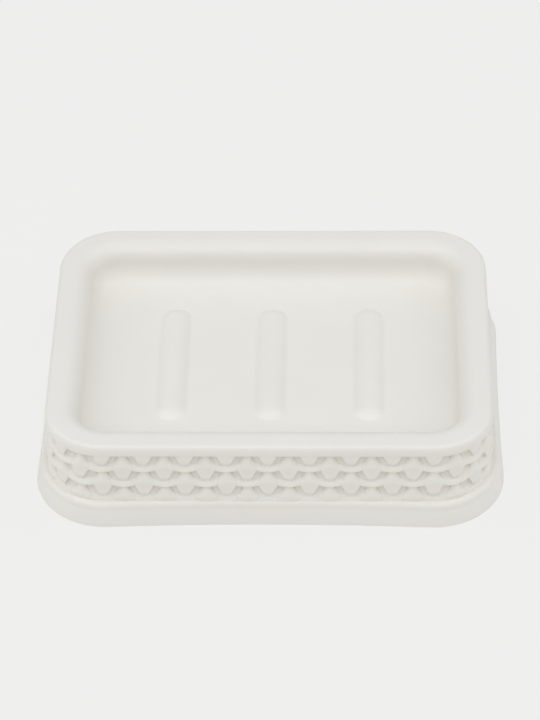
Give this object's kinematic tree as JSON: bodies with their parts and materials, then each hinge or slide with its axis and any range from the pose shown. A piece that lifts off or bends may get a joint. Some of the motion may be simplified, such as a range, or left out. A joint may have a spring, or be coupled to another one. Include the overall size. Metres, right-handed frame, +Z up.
{
  "type": "soap dish",
  "caption": "Rectangular soap dish with rounded corners: a rimmed tray with raised soap ribs, a woven-pattern skirt, a flared plinth and soft plug-in feet.",
  "frame": {"origin": "middle of the footprint, on the surface the feet stand on", "axes": "+X along the length to the right, +Y from front to rear across the width, +Z up"},
  "size_m": [0.1296, 0.0988, 0.027],
  "materials": {
    "shell": "satin, warm white",
    "feet": "matt, soft"
  },
  "bodies": {
    "root": {"dish_shell": "shell", "foot_front_left": "feet", "foot_front_right": "feet", "foot_rear_left": "feet", "foot_rear_right": "feet"}
  },
  "joints": []
}
